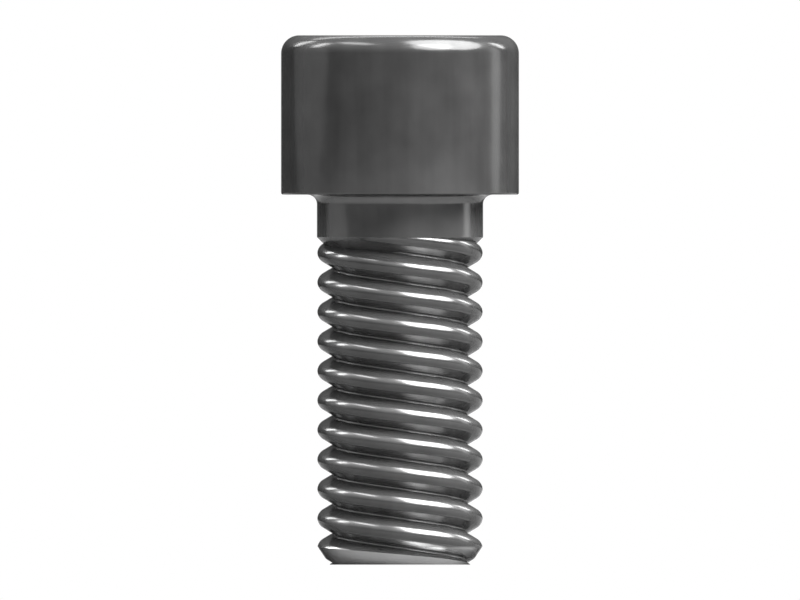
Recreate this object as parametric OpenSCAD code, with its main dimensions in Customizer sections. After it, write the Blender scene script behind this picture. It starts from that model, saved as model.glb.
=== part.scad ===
// Socket head cap screw with a 5/16 in thread of 18 ridges to the inch, left-hand and two-start.
// It is one solid about the axis Z: the tip stands on z = 0, the head is on top,
// and the origin is the middle of the flat end of the tip.

/* [Head] */
// Diameter of the cylindrical head
head_d = 11.37; // [10.4:0.01:14]
// Height of the head above its bearing face
head_h = 7.62; // [7:0.01:10]
// Radius that rounds the top edge of the head
head_edge_r = 0.86; // [0.2:0.01:1.1]
// Bevel on the lower edge of the head
head_bevel = 0.1; // [0.05:0.01:0.3]

/* [Socket] */
// Width of the hexagonal socket across its flats
socket_af = 6.35; // [5:0.01:6.6]
// Depth of the socket's flats below the top of the head
socket_depth = 4.3; // [3.5:0.01:4.6]
// How far the bevel at the socket's mouth reaches past the socket's corners
socket_mouth = 0.13; // [0.05:0.01:0.3]
// Width of the flat ledge between the socket's flats and the cone at its bottom
socket_ledge = 0.08; // [0.05:0.01:0.2]
// Included angle of the cone that closes the socket
socket_point_angle = 120; // [110:1:150]

/* [Shank] */
// Length from the bearing face to the end of the tip
shank_l = 17.69; // [12:0.01:40]
// Diameter of the plain shank under the head
shank_d = 7.94; // [7.92:0.01:8.4]
// Length of the plain shank, from the bearing face to the thread
plain_l = 2.03; // [1.6:0.01:6]
// Radius of the fillet between the shank and the bearing face
fillet_r = 0.45; // [0.2:0.01:0.6]

/* [Thread] */
// Diameter over the crests of the thread
thread_d = 7.9; // [7:0.01:7.91]
// Distance from one crest to the next
pitch = 1.411; // [1:0.001:1.5]
// Number of ridges that run side by side
start_count = 2; // [1:1:2]
// Hand of the thread
hand = "left"; // [left, right]
// Angle between the two flanks of a ridge
thread_angle = 60; // [55:1:60]
// Radius that rounds each crest
crest_r = 0.42; // [0.05:0.01:0.5]
// Radius that rounds each root
root_r = 0.1; // [0.05:0.01:0.2]
// Height of the cone in which the thread fades into the plain shank
runout_h = 1; // [0.5:0.05:2]
// Angle about the axis at which a crest leaves the tip
thread_turn = 102; // [0:1:359]

/* [Tip] */
// Height of the bevel at the tip
tip_h = 0.88; // [0.5:0.01:1.5]
// How far the bevel at the tip cuts in from the crests
tip_in = 0.59; // [0.3:0.01:0.8]

/* [Resolution] */
// Straight steps in one turn of the thread
turn_steps = 36; // [24:4:48]
// Straight steps across each rounded crest
crest_steps = 4; // [1:1:5]
// Straight steps down each side of a rounded root
root_steps = 2; // [1:1:4]

/* [Hidden] */
$fn = 96;
// Extra reach of a cutter past the surface that it cuts
past = 0.1;
top_z = shank_l + head_h;
head_r = head_d / 2;
shank_r = shank_d / 2;
thread_r = thread_d / 2;
tip_r = thread_r - tip_in;
thread_top = shank_l - plain_l;
socket_corner_r = socket_af / 2 / cos(30);
lead = pitch * start_count;
// Two flanks would meet in a sharp crest, and the next two in a sharp root
flank = thread_angle / 2;
crest_centre = thread_r - crest_r;
sharp_crest = crest_centre + crest_r / sin(flank);
sharp_root = sharp_crest - pitch / 2 / tan(flank);
root_centre = sharp_root + root_r / sin(flank);
core_r = root_centre - root_r;
// A ridge's upper side as [radius, height over its middle], from its foot to its crest
root_arc = [for (i = [1 : root_steps])
    let (a = (90 - flank) * i / root_steps)
    [root_centre - root_r * cos(a), pitch / 2 - root_r * sin(a)]];
upper_side = concat([[core_r - past, root_arc[0][1]]], root_arc);
crest_arc = [for (i = [0 : crest_steps])
    let (a = (90 - flank) * (1 - 2 * i / crest_steps))
    [crest_centre + crest_r * cos(a), crest_r * sin(a)]];
lower_side = [for (i = [len(upper_side) - 1 : -1 : 0])
    [upper_side[i][0], -upper_side[i][1]]];
section = concat(upper_side, crest_arc, lower_side);
// A ridge starts clear below the tip and ends inside the plain shank
first_turn = -pitch / lead;
last_turn = (thread_top + pitch / 2 + past) / lead;
rings = ceil((last_turn - first_turn) * turn_steps);

// A point of the section, carried round the helix for t turns
function on_helix(p, t) =
    [p[0] * cos(360 * t), p[0] * sin(360 * t), lead * t + p[1]];

// Head, plain shank and the core of the thread, as the outline that turns about Z
module blank_outline() {
    difference() {
        union() {
            translate([0, shank_l])
                polygon([[0, 0], [head_r - head_bevel, 0], [head_r, head_bevel],
                    [head_r, head_h], [0, head_h]]);
            translate([0, thread_top])
                square([shank_r, plain_l]);
            translate([0, thread_top - runout_h])
                polygon([[0, 0], [core_r - past, 0], [shank_r, runout_h], [0, runout_h]]);
            translate([0, -pitch])
                square([core_r, thread_top + pitch]);
            translate([shank_r, shank_l - fillet_r])
                difference() {
                    square(fillet_r);
                    translate([fillet_r, 0])
                        circle(r = fillet_r);
                }
        }
        translate([head_r - head_edge_r, top_z - head_edge_r])
            difference() {
                square(head_edge_r + past);
                circle(r = head_edge_r);
            }
    }
}

// One helical ridge of the thread, its foot sunk in the core
module ridge() {
    sides = len(section);
    points = [for (i = [0 : rings], p = section)
        on_helix(p, first_turn + (last_turn - first_turn) * i / rings)];
    walls = [for (i = [0 : rings - 1], j = [0 : sides - 1])
        let (k = (j + 1) % sides, a = i * sides, b = a + sides)
        each [[a + j, b + j, b + k], [a + j, b + k, a + k]]];
    ends = [[for (j = [0 : sides - 1]) j],
        [for (j = [0 : sides - 1]) (rings + 1) * sides - 1 - j]];
    polyhedron(points, concat(walls, ends));
}

module thread() {
    rotate([0, 0, thread_turn])
        mirror([0, hand == "left" ? 1 : 0, 0])
            for (n = [1 : start_count])
                rotate([0, 0, 360 * n / start_count])
                    ridge();
}

// The hexagonal socket with its bevelled mouth and the cone at its bottom
module socket() {
    mouth_r = socket_corner_r + socket_mouth;
    point_r = socket_af / 2 - socket_ledge;
    point_h = point_r / tan(socket_point_angle / 2);
    translate([0, 0, top_z - socket_depth])
        cylinder(r = socket_corner_r, h = socket_depth + past, $fn = 6);
    translate([0, 0, top_z - mouth_r])
        cylinder(r1 = 0, r2 = mouth_r + past, h = mouth_r + past);
    translate([0, 0, top_z - socket_depth])
        rotate_extrude()
            polygon([[0, -point_h], [point_r, 0], [point_r, past], [0, past]]);
}

// All that the tool takes off the tip: the bevel, and the rod below z = 0
module tip_waste() {
    out = 1;
    rotate_extrude()
        polygon([[0, -2 * pitch], [thread_r + out, -2 * pitch],
            [thread_r + out, tip_h * (tip_in + out) / tip_in], [tip_r, 0], [0, 0]]);
}

module cap_screw() {
    color("#4a4b4d")
        difference() {
            union() {
                rotate_extrude()
                    blank_outline();
                thread();
            }
            socket();
            tip_waste();
        }
}

cap_screw();
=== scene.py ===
# %% [markdown]
# A socket head cap screw, made in Blender around its CAD solid.
# The real screw is one piece of alloy steel: a cylindrical head with a hexagonal socket is forged on
# the end of a wire, the shank is rolled between dies that press the thread into it, and the whole
# piece is hardened and blackened. The CAD model fixes its sizes, so every step here starts from them.

# %% Load the frame
import math

import bpy
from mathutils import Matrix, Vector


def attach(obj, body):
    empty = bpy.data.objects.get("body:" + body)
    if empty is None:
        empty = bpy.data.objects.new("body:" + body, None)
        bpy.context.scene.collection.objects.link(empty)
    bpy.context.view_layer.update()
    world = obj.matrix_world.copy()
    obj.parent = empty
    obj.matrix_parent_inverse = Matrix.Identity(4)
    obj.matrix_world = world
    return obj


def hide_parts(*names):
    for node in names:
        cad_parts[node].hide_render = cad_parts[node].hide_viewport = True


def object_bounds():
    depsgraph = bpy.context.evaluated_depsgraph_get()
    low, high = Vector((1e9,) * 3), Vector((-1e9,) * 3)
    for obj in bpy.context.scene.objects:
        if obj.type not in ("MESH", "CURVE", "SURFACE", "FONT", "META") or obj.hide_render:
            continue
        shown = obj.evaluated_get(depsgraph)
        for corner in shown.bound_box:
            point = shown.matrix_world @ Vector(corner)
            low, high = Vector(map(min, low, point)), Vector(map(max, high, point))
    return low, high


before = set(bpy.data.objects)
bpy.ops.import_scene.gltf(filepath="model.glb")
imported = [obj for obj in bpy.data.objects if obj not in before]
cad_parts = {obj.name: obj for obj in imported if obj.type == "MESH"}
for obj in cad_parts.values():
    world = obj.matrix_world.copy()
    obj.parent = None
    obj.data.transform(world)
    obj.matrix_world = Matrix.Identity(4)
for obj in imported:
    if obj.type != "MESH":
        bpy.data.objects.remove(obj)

cad_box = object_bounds()
(_, _, low), (_, _, top) = cad_box
MM = 0.001
print("CAD box in mm:", [[round(c / MM, 3) for c in corner] for corner in cad_box])

# %% [markdown]
# The sizes of a screw hang together: the head stands on the shank, the thread is cut into the shank,
# and the socket is sunk in the head. They are set down once here, in metres, and everything else is
# worked out from them. The thread is 5/16 inch across, with 18 ridges to the inch. It is left-hand, so
# its ridges fall to the right, and two-start: two ridges run side by side, each rising by two
# pitches in a turn.

# %% Sizes of the screw
HEAD_R = 5.685 * MM
HEAD_H = 7.62 * MM
HEAD_EDGE_R = 0.86 * MM
HEAD_BEVEL = 0.1 * MM
BEARING_Z = top - HEAD_H
SHANK_R = 3.97 * MM
PLAIN_L = 2.03 * MM
FILLET_R = 0.45 * MM
SOCKET_AF = 6.35 * MM
SOCKET_DEPTH = 4.3 * MM
SOCKET_MOUTH = 0.13 * MM
SOCKET_LEDGE = 0.08 * MM
SOCKET_POINT_ANGLE = math.radians(120)
THREAD_R = 3.95 * MM
PITCH = 1.411 * MM
STARTS = 2
HAND = -1
THREAD_TURN = math.radians(102)
FLANK = math.radians(30)
CREST_R = 0.42 * MM
ROOT_R = 0.1 * MM
TIP_H = 0.88 * MM
TIP_IN = 0.59 * MM
TIP_R = THREAD_R - TIP_IN
THREAD_TOP = BEARING_Z - PLAIN_L
print("length under the head in mm:", round((BEARING_Z - low) / MM, 3))

# %% [markdown]
# Blender's operators work on what is selected, so most steps select some points or faces by where
# they are, then call one operator, as a modeller would by hand. These helpers keep that short.

# %% Helpers for selecting and finishing
# Places that differ by less than this, in metres, count as one
NEAR = 1e-7


def start(name):
    """Name the piece that was just added, put its place into its mesh and go into edit mode."""
    piece = bpy.context.object
    piece.name = piece.data.name = name
    bpy.ops.object.transform_apply(location=True, rotation=False, scale=False)
    bpy.ops.object.mode_set(mode="EDIT")
    bpy.ops.mesh.select_mode(type="VERT")
    return piece


def pick(piece, wanted, kind="vertices"):
    """In edit mode, select only the points, edges or faces that the test wants."""
    bpy.ops.mesh.select_mode(type={"vertices": "VERT", "edges": "EDGE", "polygons": "FACE"}[kind])
    bpy.ops.mesh.select_all(action="DESELECT")
    bpy.ops.object.mode_set(mode="OBJECT")
    points = piece.data.vertices
    for part in getattr(piece.data, kind):
        corners = [part.index] if kind == "vertices" else part.vertices
        part.select = wanted([points[i].co for i in corners])
    bpy.ops.object.mode_set(mode="EDIT")


def at_height(z):
    """A test for parts that lie level at one height."""
    return lambda corners: all(abs(c.z - z) < NEAR for c in corners)


def at_radius(r, z):
    """A test for parts that lie on one circle about the axis."""
    return lambda corners: all(
        abs(c.z - z) < NEAR and abs(math.hypot(c.x, c.y) - r) < 10 * NEAR for c in corners)


def apply(piece, kind, **settings):
    """Add a modifier with its settings and apply it at once."""
    bpy.ops.object.select_all(action="DESELECT")
    bpy.context.view_layer.objects.active = piece
    piece.select_set(True)
    modifier = piece.modifiers.new(kind.title(), kind)
    for name, value in settings.items():
        setattr(modifier, name, value)
    bpy.ops.object.modifier_apply(modifier=modifier.name)


def combine(piece, tool, operation):
    """Join, cut or keep what is common with another solid, which is used up."""
    apply(piece, "BOOLEAN", operation=operation, object=tool, solver="EXACT")
    bpy.data.objects.remove(tool)


def report(piece, what):
    """Print how many points and faces a piece has, and how many of its points lie on an open edge."""
    bpy.ops.object.select_all(action="DESELECT")
    bpy.context.view_layer.objects.active = piece
    bpy.ops.object.mode_set(mode="EDIT")
    pick(piece, lambda corners: False)
    bpy.ops.mesh.select_non_manifold()
    bpy.ops.object.mode_set(mode="OBJECT")
    loose = sum(v.select for v in piece.data.vertices)
    print(what, "-", len(piece.data.vertices), "points,", len(piece.data.polygons), "faces,",
          loose, "points on open edges")


# %% [markdown]
# The head starts as a cylinder of 192 sides, so many that its outline looks round close up. Its lower
# face is inset to the shank's radius and drawn down, first as the plain shank and then as a short
# cone. The cone fills the last turn of the groove, as the tapered end of a rolling die leaves it.

# %% Head and plain shank
SIDES = 192
RUNOUT_H = 1.0 * MM
RUNOUT_R = 2.95 * MM
bpy.ops.object.select_all(action="DESELECT")
bpy.ops.mesh.primitive_cylinder_add(
    vertices=SIDES, radius=HEAD_R, depth=HEAD_H, location=(0, 0, BEARING_Z + HEAD_H / 2))
screw = start("cap_screw_steel")
pick(screw, at_height(BEARING_Z), "polygons")
bpy.ops.mesh.inset(thickness=HEAD_R - SHANK_R)
bpy.ops.mesh.extrude_region_move(TRANSFORM_OT_translate={"value": (0, 0, -PLAIN_L)})
bpy.ops.mesh.extrude_region_move(TRANSFORM_OT_translate={"value": (0, 0, -RUNOUT_H)})
shrink = RUNOUT_R / SHANK_R
bpy.ops.transform.resize(value=(shrink, shrink, 1), center_override=(0, 0, 0))
bpy.ops.object.mode_set(mode="OBJECT")
print("radii of the head and shank in mm:", sorted({
    round(math.hypot(v.co.x, v.co.y) / MM, 2) for v in screw.data.vertices}))

# %% [markdown]
# No edge of a forged head is sharp. The die leaves a large rounding at the top, the edge under the
# head gets a fine bevel, and a fillet where the shank meets the head keeps it from cracking there.
# Each is a bevel of one circle of edges, which is picked by its radius and height. More segments go
# where the curve is large enough to show.

# %% Rounded edges of the head
bpy.ops.object.mode_set(mode="EDIT")
for radius, z, size, steps in (
        (HEAD_R, top, HEAD_EDGE_R, 14),
        (HEAD_R, BEARING_Z, HEAD_BEVEL, 4),
        (SHANK_R, BEARING_Z, FILLET_R, 8)):
    pick(screw, at_radius(radius, z), "edges")
    bpy.ops.mesh.bevel(offset=size, segments=steps, profile=0.5, affect="EDGES")
bpy.ops.object.mode_set(mode="OBJECT")
report(screw, "head and plain shank")

# %% [markdown]
# The socket is pressed in by a hexagonal punch, so the punch is modelled as a solid of its own, to be
# taken out of the head later. Its body is a six-sided prism. The long edges are slightly rounded,
# because no punch keeps a sharp corner for long, and each then leaves a soft line in the socket.

# %% Punch for the socket
CORNER_ROUNDING = 0.12 * MM
corner_r = SOCKET_AF / 2 / math.cos(math.radians(30))
floor_z = top - SOCKET_DEPTH
punch_h = SOCKET_DEPTH + HEAD_EDGE_R
bpy.ops.object.select_all(action="DESELECT")
bpy.ops.mesh.primitive_cylinder_add(vertices=6, radius=corner_r, depth=punch_h, location=(0, 0, 0))
punch = start("punch")
bpy.ops.mesh.select_all(action="SELECT")
bpy.ops.transform.rotate(value=math.radians(30), orient_axis="Z", center_override=(0, 0, 0))
bpy.ops.transform.translate(value=(0, 0, floor_z + punch_h / 2))
pick(punch, lambda corners: abs(corners[0].z - corners[1].z) > MM, "edges")
bpy.ops.mesh.bevel(offset=CORNER_ROUNDING, segments=3, affect="EDGES")
bpy.ops.object.mode_set(mode="OBJECT")
print("punch over its rounded corners in mm:", round(
    2 * max(math.hypot(v.co.x, v.co.y) for v in punch.data.vertices) / MM, 2))

# %% [markdown]
# The real punch ends in a blunt cone, which leaves the hollow at the bottom of the socket. Here the
# cone is a second solid that reaches a little way up into the first, because two cuts that only met
# in a plane could leave a skin between them. The third solid, a wide cone, breaks the sharp edge at
# the mouth, where the key goes in. All three are then taken out of the head, one after the other.

# %% Bottom and mouth of the socket
POINT_END_R = 0.03 * MM
OVERLAP = 0.1 * MM
# The cone ends in a tiny flat, because faces that share one point there would be shaded as a dome
point_r = SOCKET_AF / 2 - SOCKET_LEDGE
point_h = point_r / math.tan(SOCKET_POINT_ANGLE / 2)
bpy.ops.mesh.primitive_cone_add(
    vertices=SIDES // 2, radius1=POINT_END_R, radius2=point_r, depth=point_h,
    location=(0, 0, floor_z - point_h / 2))
point = start("point")
pick(point, at_height(floor_z), "polygons")
bpy.ops.mesh.extrude_region_move(TRANSFORM_OT_translate={"value": (0, 0, OVERLAP)})
bpy.ops.object.mode_set(mode="OBJECT")
mouth_r = corner_r + SOCKET_MOUTH
bpy.ops.mesh.primitive_cone_add(
    vertices=SIDES, radius1=0, radius2=mouth_r + MM, depth=mouth_r + MM,
    location=(0, 0, top - mouth_r + (mouth_r + MM) / 2))
mouth = bpy.context.object
for tool in (punch, point, mouth):
    combine(screw, tool, "DIFFERENCE")
report(screw, "with its socket")

# %% [markdown]
# The thread is one outline carried round the axis. For each of the two ridges it is drawn as a zigzag
# in the plane of the axis: half a crest, a flank down to the root, a flank up, half a crest. Real
# dies press no sharp corner, so the points are rounded by bevelling them, narrowly at the roots and
# broadly at the crests, which is what catches the light.

# %% Outline of one lead
LEAD = PITCH * STARTS
TURN_STEPS = 144
crest_half = CREST_R * math.tan(math.pi / 4 - FLANK / 2)
depth_to_apex = (PITCH / 2 - crest_half) / math.tan(FLANK)
# Two leads below the tip, and turned so that a crest leaves the tip at THREAD_TURN
START_Z = low - 2 * LEAD - HAND * LEAD * THREAD_TURN / (2 * math.pi)
outline = [(THREAD_R, 0)]
for n in range(STARTS):
    outline += [
        (THREAD_R, n * PITCH + crest_half),
        (THREAD_R - depth_to_apex, (n + 0.5) * PITCH),
        (THREAD_R, (n + 1) * PITCH - crest_half)]
outline.append((THREAD_R, LEAD))
bpy.ops.object.select_all(action="DESELECT")
bpy.ops.mesh.primitive_plane_add(size=MM, location=(0, 0, 0))
thread = start("thread")
bpy.ops.mesh.select_all(action="SELECT")
bpy.ops.mesh.merge(type="CENTER")
bpy.ops.transform.translate(value=(THREAD_R, 0, START_Z))
for here, there in zip(outline, outline[1:]):
    step = (there[0] - here[0], 0, there[1] - here[1])
    bpy.ops.mesh.extrude_region_move(TRANSFORM_OT_translate={"value": step})
pick(thread, lambda corners: corners[0].x < THREAD_R - MM / 2)
bpy.ops.mesh.bevel(offset=ROOT_R / math.tan(FLANK), segments=8, affect="VERTICES")
pick(thread, lambda corners: (
    corners[0].x > THREAD_R - NEAR and START_Z + NEAR < corners[0].z < START_Z + LEAD - NEAR))
# The rounding ends just short of the crest's middle, so that no two of its points fall together
bpy.ops.mesh.bevel(offset=0.98 * crest_half, segments=8, affect="VERTICES")
bpy.ops.object.mode_set(mode="OBJECT")
print("outline:", len(thread.data.vertices), "points; root radius in mm:",
      round(min(v.co.x for v in thread.data.vertices) / MM, 3))

# %% [markdown]
# The Screw modifier turns the outline about Z and raises it by one lead in each turn, so that the end
# of one turn meets the start of the next and rows of faces follow the thread. Its own option to merge
# points doesn't join turns that rise, so they are merged here by distance. Two cuts then trim the
# rod, each closed with a face, and what is left is a solid.

# %% Threaded rod
TURNS = math.ceil((THREAD_TOP - START_Z) / LEAD) + 2
apply(thread, "SCREW", axis="Z", angle=HAND * 2 * math.pi, screw_offset=LEAD, iterations=TURNS,
      steps=TURN_STEPS, render_steps=TURN_STEPS, use_normal_calculate=False)
bpy.ops.object.mode_set(mode="EDIT")
bpy.ops.mesh.select_all(action="SELECT")
bpy.ops.mesh.remove_doubles(threshold=2 * NEAR)
rod_bottom, rod_top = low - 0.3 * MM, THREAD_TOP + 0.4 * MM
for z, side in ((rod_bottom, -1), (rod_top, 1)):
    bpy.ops.mesh.select_all(action="SELECT")
    bpy.ops.mesh.bisect(plane_co=(0, 0, z), plane_no=(0, 0, side), use_fill=True, clear_outer=True,
                        threshold=NEAR / 10)
bpy.ops.mesh.select_all(action="SELECT")
bpy.ops.mesh.normals_make_consistent(inside=False)
bpy.ops.object.mode_set(mode="OBJECT")
report(thread, "threaded rod")

# %% [markdown]
# The tip is bevelled so that the screw starts easily in its hole. A tall cone, wider than the thread
# everywhere but at the tip, keeps only what lies inside it: it trims the rod level and bevels it in
# one step. The rod and the head are then joined into one solid.

# %% Bevelled tip, and the join
slope = TIP_IN / TIP_H
cone_h = THREAD_TOP + 2 * MM - low
bpy.ops.object.select_all(action="DESELECT")
bpy.ops.mesh.primitive_cone_add(
    vertices=SIDES, radius1=TIP_R, radius2=TIP_R + slope * cone_h, depth=cone_h,
    location=(0, 0, low + cone_h / 2))
combine(thread, bpy.context.object, "INTERSECT")
report(thread, "bevelled rod")
combine(screw, thread, "UNION")
report(screw, "whole screw")
bpy.ops.object.select_all(action="DESELECT")
screw.select_set(True)
bpy.context.view_layer.objects.active = screw
# The roundings are shaded smooth, and edges that turn by more than this stay crisp
CRISP = math.radians(25)
bpy.ops.object.shade_smooth_by_angle(angle=CRISP)

# %% [markdown]
# The finish is black oxide: a layer about a thousandth of a millimetre thick that grows when the steel
# is boiled in a salt bath, and is then sealed with oil. It is dark grey, half metal and half mineral,
# so it scatters a little light where bare steel would only reflect. A material here is a tree of
# nodes. One function adds a node, so that the tree can be read from top to bottom as a recipe.

# %% Material helpers
def linear(hex_value):
    """An sRGB hex colour as Blender's linear red, green, blue and alpha."""
    parts = [int(hex_value[i:i + 2], 16) / 255 for i in (1, 3, 5)]
    return [c / 12.92 if c <= 0.04045 else ((c + 0.055) / 1.055) ** 2.4 for c in parts] + [1.0]


def node(tree, kind, settings=None):
    """Add one node. A setting is its own, an input's value, or the output that feeds an input."""
    made = tree.nodes.new(kind)
    inputs = {socket.identifier: socket for socket in made.inputs}
    for name, value in (settings or {}).items():
        if name not in inputs:
            setattr(made, name, value)
        elif isinstance(value, bpy.types.NodeSocket):
            tree.links.new(value, inputs[name])
        else:
            inputs[name].default_value = value
    return made


print("linear value of a mid grey:", round(linear("#808080")[0], 3))

# %% [markdown]
# The wear and the painted light on the flanks follow the thread, so the material has to know where
# on the thread a point lies. Object coordinates give its place in metres. With the height taken out,
# the length of what is left is the distance from the axis. The height is counted in ridges and turned
# back with the angle about the axis, and what then stands after the decimal point says how far across
# a ridge the point is.

# %% Where a point lies
oxide = bpy.data.materials.new("oiled_black_oxide")
oxide.use_nodes = True
tree = oxide.node_tree
tree.nodes.clear()
place = node(tree, "ShaderNodeTexCoord").outputs["Object"]
along_x, along_y, height = node(tree, "ShaderNodeSeparateXYZ", {"Vector": place}).outputs
level = node(tree, "ShaderNodeMapping", {"Vector": place, "Scale": (1, 1, 0)}).outputs["Vector"]
radius = node(tree, "ShaderNodeVectorMath", {"operation": "LENGTH", "Vector": level}).outputs["Value"]
angle = node(tree, "ShaderNodeMath", {
    "operation": "ARCTAN2", "Value": along_y, "Value_001": along_x}).outputs["Value"]
lag = node(tree, "ShaderNodeMath", {
    "operation": "MULTIPLY_ADD", "Value": angle, "Value_001": -HAND * STARTS / (2 * math.pi),
    "Value_002": -START_Z / PITCH}).outputs["Value"]
ridges = node(tree, "ShaderNodeMath", {
    "operation": "MULTIPLY_ADD", "Value": height, "Value_001": 1 / PITCH, "Value_002": lag})
# 0 is the middle of a crest, 0.5 the bottom of the groove above it and 1 the middle of the next crest
across_ridge = node(tree, "ShaderNodeMath", {"operation": "FRACT", "Value": ridges.outputs["Value"]})
print("nodes that find a point's place:", len(tree.nodes))

# %% [markdown]
# The oxide wears first where the screw rubs. The nut slides along the flanks of the thread, while
# the crests run clear of it and stay dark. Rubbing comes in patches a few millimetres long. The
# flanks are also painted lighter than rubbing alone would make them: painted light that lifts the
# shade in the grooves, most of all on the lower flanks.

# %% Rubbed flanks, with painted light in the grooves
PATCH = 2.2 * MM
# Across a ridge: partly rubbing, partly painted light that lifts the shade in the grooves
flanks = node(tree, "ShaderNodeValToRGB", {"Fac": across_ridge.outputs["Value"]})
flanks.color_ramp.elements[1].color = linear("#000000")
# First comes the upper flank, then the lower flank of the next ridge. The lower ones see little
# light, so they get the larger amount: a painted fill that keeps their shade from going black.
UPPER, LOWER = 0.6, 1.0
for share, rub_and_painted_light in ((0.09, UPPER), (0.47, UPPER), (0.53, LOWER), (0.74, LOWER), (0.83, 0.0)):
    flanks.color_ramp.elements.new(share).color = (rub_and_painted_light, rub_and_painted_light, rub_and_painted_light, 1)
# Above, the wear and painted light fade out where the plain shank begins, and the flat end at the
# bottom has none
PLAIN_END, THREAD_START = THREAD_TOP + 0.02 * MM, THREAD_TOP - 0.15 * MM
below = node(tree, "ShaderNodeMapRange", {
    "Value": height, "From Min": PLAIN_END, "From Max": THREAD_START})
over_end = node(tree, "ShaderNodeMapRange", {
    "Value": height, "From Min": low + 0.01 * MM, "From Max": low + 0.06 * MM})
on_thread = node(tree, "ShaderNodeMath", {
    "operation": "MULTIPLY", "Value": below.outputs["Result"], "Value_001": over_end.outputs["Result"]})
threaded = node(tree, "ShaderNodeMath", {
    "operation": "MULTIPLY", "Value": flanks.outputs["Color"], "Value_001": on_thread.outputs["Value"]})
patches = node(tree, "ShaderNodeTexNoise", {"Vector": place, "Scale": 1 / PATCH, "Detail": 3.0})
uneven = node(tree, "ShaderNodeMapRange", {
    "Value": patches.outputs["Fac"], "From Min": 0.35, "From Max": 0.65,
    "To Min": 0.38, "To Max": 0.58})
rubbed_and_painted_flanks = node(tree, "ShaderNodeMath", {
    "operation": "MULTIPLY", "Value": threaded.outputs["Value"], "Value_001": uneven.outputs["Result"]})
print("nodes with the flanks:", len(tree.nodes))

# %% [markdown]
# The bevel of the tip is pushed into the hole before the thread catches, so it is rubbed all round.
# It is also painted lighter than that rubbing would leave it, a painted reflection that brightens
# the bevel. It is found by its height and its distance from the axis, each with a short soft edge.
# At each point the stronger of the two marks, flanks or tip, counts.

# %% Rubbed tip, with a painted reflection
# Rubbing and a painted reflection together lighten the bevel of the tip
TIP_RUB_AND_PAINTED_REFLECTION = 0.9
tip_band = node(tree, "ShaderNodeMapRange", {
    "Value": height, "From Min": low + TIP_H + 0.03 * MM, "From Max": low + TIP_H - 0.08 * MM})
tip_rim = node(tree, "ShaderNodeMapRange", {
    "Value": radius, "From Min": TIP_R - 0.12 * MM, "From Max": TIP_R + 0.02 * MM,
    "To Max": TIP_RUB_AND_PAINTED_REFLECTION})
rubbed_and_painted_tip = node(tree, "ShaderNodeMath", {
    "operation": "MULTIPLY", "Value": tip_band.outputs["Result"],
    "Value_001": tip_rim.outputs["Result"]})
# Wear together with the painted light of the flanks and the tip
wear_and_painted_light = node(tree, "ShaderNodeMath", {
    "operation": "MAXIMUM", "Value": rubbed_and_painted_flanks.outputs["Value"],
    "Value_001": rubbed_and_painted_tip.outputs["Value"]}).outputs["Value"]
print("nodes with the tip:", len(tree.nodes))

# %% [markdown]
# The layer isn't even. Forging draws faint streaks along the head, and the bath leaves soft clouds a
# millimetre or two across. Both shift the tone and the gloss by a few hundredths, which is enough to
# tell steel from plastic. The plain shank is painted lighter: a painted fill that lifts the shade
# under the overhang of the head.

# %% Clouds, streaks and the painted fill on the plain shank
CLOUD = 1.6 * MM
STREAK = 1.1 * MM
# How much lighter the plain shank is painted: a painted fill for the shade under the head
PAINTED_SHANK_FILL = 0.19
clouds = node(tree, "ShaderNodeTexNoise", {"Vector": place, "Scale": 1 / CLOUD, "Detail": 4.0})
drawn_out = node(tree, "ShaderNodeMapping", {"Vector": place, "Scale": (1, 1, 0.06)})
streaks = node(tree, "ShaderNodeTexNoise", {
    "Vector": drawn_out.outputs["Vector"], "Scale": 1 / STREAK, "Detail": 5.0, "Roughness": 0.6})
uneven_layer = node(tree, "ShaderNodeMath", {
    "operation": "ADD", "Value": clouds.outputs["Fac"],
    "Value_001": streaks.outputs["Fac"]}).outputs["Value"]
# Each pattern lies round 0.5, so nearly all of their sum lies between these two
THIN, THICK = 0.7, 1.3
tone = node(tree, "ShaderNodeMapRange", {
    "Value": uneven_layer, "From Min": THIN, "From Max": THICK, "To Min": 0.0, "To Max": 0.1})
gloss = node(tree, "ShaderNodeMapRange", {
    "Value": uneven_layer, "From Min": THIN, "From Max": THICK, "To Min": 0.17, "To Max": 0.25})
# Painted fill on the plain shank, rising just below the head
shank = node(tree, "ShaderNodeMapRange", {
    "Value": height, "From Min": BEARING_Z, "From Max": BEARING_Z - 0.1 * MM, "To Max": PAINTED_SHANK_FILL})
plain = node(tree, "ShaderNodeMapRange", {
    "Value": height, "From Min": THREAD_START, "From Max": PLAIN_END})
tone_and_painted_fill = node(tree, "ShaderNodeMath", {
    "operation": "MULTIPLY_ADD", "Value": shank.outputs["Result"], "Value_001": plain.outputs["Result"],
    "Value_002": tone.outputs["Result"]})
tone_wear_and_painted_light = node(tree, "ShaderNodeMath", {
    "operation": "ADD", "Value": tone_and_painted_fill.outputs["Value"], "Value_001": wear_and_painted_light, "use_clamp": True})
print("nodes with the uneven layer:", len(tree.nodes))

# %% [markdown]
# The tone, the wear and the painted light now become a colour, from near black to the grey of worn
# steel. The wear and the painted light of the flanks and tip also make the surface more of a metal.
# The grain of the layer is finer than the picture can show, so it is drawn at 0.09 mm, several
# times its real size, and only as a slight bump. The film of oil is the coat: thin and smooth, it adds
# a faint sharper gloss over the oxide.

# %% Oiled black oxide
GRAIN = 0.09 * MM
GRAIN_DEPTH = 0.002 * MM
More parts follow.
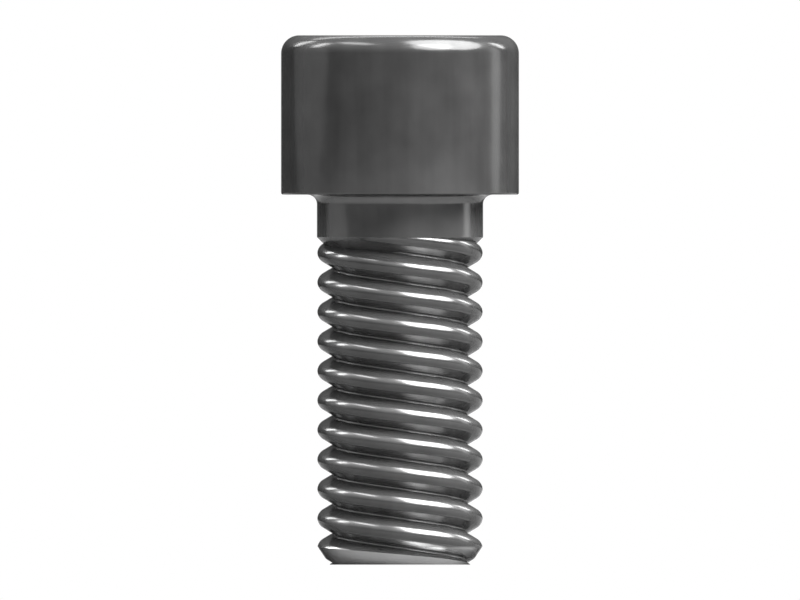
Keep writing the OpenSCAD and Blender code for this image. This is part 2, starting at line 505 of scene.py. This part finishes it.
# The colour carries the painted light of the flanks, the tip and the plain shank along with the wear
colour = node(tree, "ShaderNodeValToRGB", {"Fac": tone_wear_and_painted_light.outputs["Value"]})
colour.color_ramp.elements[0].color = linear("#3a3a3a")
colour.color_ramp.elements[1].color = linear("#9c9c9c")
colour.color_ramp.elements.new(0.5).color = linear("#646464")
metal = node(tree, "ShaderNodeMapRange", {"Value": wear_and_painted_light, "To Min": 0.6, "To Max": 1.0})
grain = node(tree, "ShaderNodeTexNoise", {"Vector": place, "Scale": 1 / GRAIN, "Detail": 2.0})
relief = node(tree, "ShaderNodeBump", {
    "Height": grain.outputs["Fac"], "Strength": 0.15, "Distance": GRAIN_DEPTH})
surface = node(tree, "ShaderNodeBsdfPrincipled", {
    "Base Color": colour.outputs["Color"], "Metallic": metal.outputs["Result"],
    "Roughness": gloss.outputs["Result"], "Normal": relief.outputs["Normal"],
    "Specular Tint": linear("#404040"), "Coat Weight": 0.1, "Coat Roughness": 0.1})
node(tree, "ShaderNodeOutputMaterial", {"Surface": surface.outputs["BSDF"]})
screw.data.materials.clear()
screw.data.materials.append(oxide)
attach(screw, "root")
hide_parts("cap_screw")
print("material:", oxide.name, "with", len(tree.nodes), "nodes")

# %% [markdown]
# The screw stands on its tip on a plain pale card, as a maker would stand it up for a picture. The
# card matters more than it seems, because the bevel and the lower flanks of the thread reflect it.

# %% Floor
CARD_SIZE = 0.24
# The card lies a hair below the screw's flat end, so that the two don't share a plane
card_z = low - 0.01 * MM
bpy.ops.object.select_all(action="DESELECT")
bpy.ops.mesh.primitive_plane_add(size=CARD_SIZE, location=(0, 0, card_z))
ground = bpy.context.object
ground.name = "studio_floor"
card = bpy.data.materials.new("pale_grey_card")
card.use_nodes = True
card.node_tree.nodes.clear()
sheet = node(card.node_tree, "ShaderNodeBsdfPrincipled", {
    "Base Color": linear("#828282"), "Roughness": 0.8})
node(card.node_tree, "ShaderNodeOutputMaterial", {"Surface": sheet.outputs["BSDF"]})
ground.data.materials.append(card)
print("floor at z in mm:", round(card_z / MM, 3))

# %% [markdown]
# Dark steel shows its surroundings, so the surroundings are most of its look. Here the room is a soft
# sky that is bright overhead and dim at eye level: the upright sides stay dark while the upper flanks
# of the thread pick up light. Behind the screw the sky is dimmer, which keeps its edges dark. The
# camera itself sees plain white, because the picture has a white background.

# %% World
world = bpy.data.worlds.new("studio")
bpy.context.scene.world = world
world.use_nodes = True
room = world.node_tree
room.nodes.clear()
direction = node(room, "ShaderNodeTexCoord").outputs["Generated"]
_, away_from_camera, up = node(room, "ShaderNodeSeparateXYZ", {"Vector": direction}).outputs
upwards = node(room, "ShaderNodeMapRange", {
    "interpolation_type": "SMOOTHSTEP", "Value": up,
    "From Min": 0.05, "From Max": 0.8, "To Min": 0.135, "To Max": 1.3})
behind = node(room, "ShaderNodeMapRange", {
    "Value": away_from_camera, "From Min": -0.3, "From Max": 1.0, "To Min": 1.0, "To Max": 0.75})
brightness = node(room, "ShaderNodeMath", {
    "operation": "MULTIPLY", "Value": upwards.outputs["Result"], "Value_001": behind.outputs["Result"]})
sky = node(room, "ShaderNodeBackground", {
    "Color": linear("#ffffff"), "Strength": brightness.outputs["Value"]})
backdrop = node(room, "ShaderNodeBackground", {"Color": linear("#ffffff"), "Strength": 1.0})
seen = node(room, "ShaderNodeLightPath").outputs["Is Camera Ray"]
both = node(room, "ShaderNodeMixShader", {
    "Fac": seen, "Shader": sky.outputs["Background"], "Shader_001": backdrop.outputs["Background"]})
node(room, "ShaderNodeOutputWorld", {"Surface": both.outputs["Shader"]})
# The plain transform keeps white paper white and shows each grey as it is
bpy.context.scene.view_settings.view_transform = "Standard"
print("world:", world.name, "with", len(room.nodes), "nodes")

# %% [markdown]
# Oval softboxes stand round the screw. The key, ahead and to the right, and a larger one beside it,
# high on the right, together make the long oval on the rounded edge of the head and the bright oval
# on the upper side of every ridge. Small ones at the sides and behind leave the glints at both ends
# of the ridges and on the head's edge. A tall strip draws the upright line on the right, and a faint
# fill opens up the left side.

# %% Lights
LAMP_DISTANCE = 0.3
middle_z = (low + top) / 2


def softbox(name, azimuth, elevation, width, height, watts):
    """An oval light that faces the screw. Azimuth 0 is the camera's side, and it grows to the right."""
    a, e = math.radians(azimuth), math.radians(elevation)
    data = bpy.data.lights.new(name, "AREA")
    data.shape = "ELLIPSE"
    data.size, data.size_y = width, height
    data.energy = watts
    lamp = bpy.data.objects.new(name, data)
    bpy.context.collection.objects.link(lamp)
    lamp.location = (
        LAMP_DISTANCE * math.sin(a) * math.cos(e), -LAMP_DISTANCE * math.cos(a) * math.cos(e),
        LAMP_DISTANCE * math.sin(e) + middle_z)
    lamp.rotation_euler = (math.radians(90) - e, 0, a)


# Azimuth and elevation are in degrees, width and height in metres
softbox("key", 36, 40, 0.18, 0.2, 1.3)
softbox("high_right", 67, 52, 0.31, 0.36, 5.2)
softbox("right", 124, 27, 0.05, 0.12, 0.35)
softbox("strip_right", 107, 5, 0.07, 0.2, 0.11)
softbox("high_left", -66, 59, 0.18, 0.06, 0.3)
softbox("behind", -172, 46, 0.25, 0.05, 0.3)
softbox("left", -100, 38, 0.05, 0.12, 0.3)
softbox("back_left", -132, 32, 0.05, 0.12, 0.3)
softbox("fill_left", -100, 10, 0.3, 0.2, 0.12)

# %% [markdown]
# The picture has no perspective: the head's flat top shows no ellipse and both ends of the screw are
# drawn at one scale. So the camera is orthographic, level, and looks straight at the screw's side. One
# pixel of the 800 by 600 frame covers 0.0478 mm.

# %% Camera
PIXEL = 0.047816 * MM
FRAME_WIDTH = 800
CAMERA_DISTANCE = 0.5
camera_data = bpy.data.cameras.new("camera")
camera_data.type = "ORTHO"
camera_data.ortho_scale = FRAME_WIDTH * PIXEL
camera = bpy.data.objects.new("camera", camera_data)
bpy.context.collection.objects.link(camera)
camera.location = (0, -CAMERA_DISTANCE, middle_z)
camera.rotation_euler = (math.radians(90), 0, 0)
camera_data.clip_start = 0.01
camera_data.clip_end = 10
bpy.context.scene.camera = camera
print("width of the picture in mm:", round(camera_data.ortho_scale / MM, 2))
